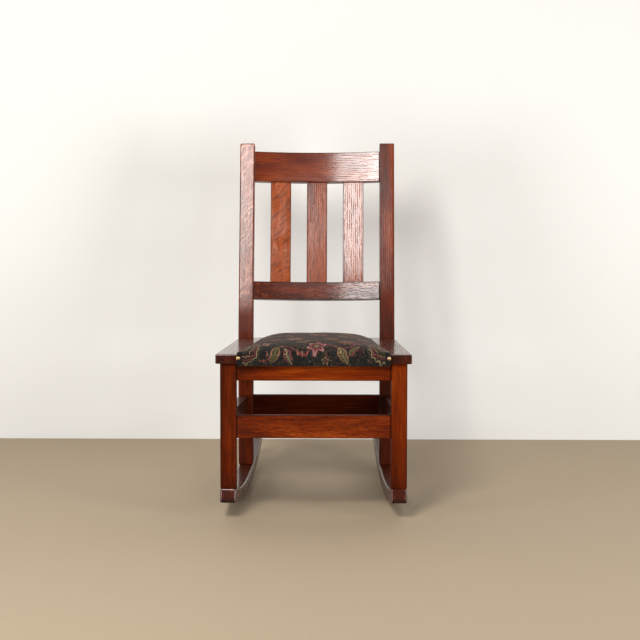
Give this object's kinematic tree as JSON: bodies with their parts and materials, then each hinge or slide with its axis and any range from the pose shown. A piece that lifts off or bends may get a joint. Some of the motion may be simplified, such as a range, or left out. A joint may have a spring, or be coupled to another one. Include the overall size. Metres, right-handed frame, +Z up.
{
  "type": "rocking chair",
  "caption": "Armless wooden rocking chair: raked slatted back between square posts, box of flat stretchers, curved runners and a crowned upholstered seat between wooden side boards.",
  "frame": {"origin": "on the floor, under the middle of the chair's length and width; the runners' soles touch z = 0", "axes": "+Z up, the seat's front faces -Y, +X to the right seen from the front"},
  "size_m": [0.4444, 0.66, 0.8214],
  "materials": {
    "stained_oak": "satin",
    "plain_oak": "matte",
    "tapestry": "matte",
    "stuffing": "matte",
    "jute_webbing": "matte",
    "hessian": "matte",
    "brass": "polished",
    "steel": "satin"
  },
  "bodies": {
    "root": {"back_slat_centre": "stained_oak", "back_slat_left": "stained_oak", "back_slat_right": "stained_oak", "brass_nail_left": "brass", "brass_nail_right": "brass", "corner_block_front_left": "plain_oak", "corner_block_front_right": "plain_oak", "corner_block_rear_left": "plain_oak", "corner_block_rear_right": "plain_oak", "corner_block_screw_front_left": "steel", "corner_block_screw_front_right": "steel", "corner_block_screw_rear_left": "steel", "corner_block_screw_rear_right": "steel", "front_leg_left": "stained_oak", "front_leg_right": "stained_oak", "front_runner_screw_left": "steel", "front_runner_screw_right": "steel", "front_seat_rail": "stained_oak", "front_stretcher": "stained_oak", "hessian_sheet": "hessian", "lower_back_rail": "stained_oak", "rear_post_left": "stained_oak", "rear_post_right": "stained_oak", "rear_runner_screw_left": "steel", "rear_runner_screw_right": "steel", "rear_seat_rail": "stained_oak", "rear_stretcher": "stained_oak", "runner_left": "stained_oak", "runner_right": "stained_oak", "seat_cover": "tapestry", "seat_front_board": "plain_oak", "seat_pad": "stuffing", "seat_rear_board": "stained_oak", "seat_side_board_left": "stained_oak", "seat_side_board_right": "stained_oak", "side_seat_rail_left": "stained_oak", "side_seat_rail_right": "stained_oak", "side_stretcher_left": "stained_oak", "side_stretcher_right": "stained_oak", "top_rail": "stained_oak", "webbing_cross_front": "jute_webbing", "webbing_cross_middle": "jute_webbing", "webbing_cross_rear": "jute_webbing", "webbing_long_centre": "jute_webbing", "webbing_long_left": "jute_webbing", "webbing_long_right": "jute_webbing"}
  },
  "joints": []
}
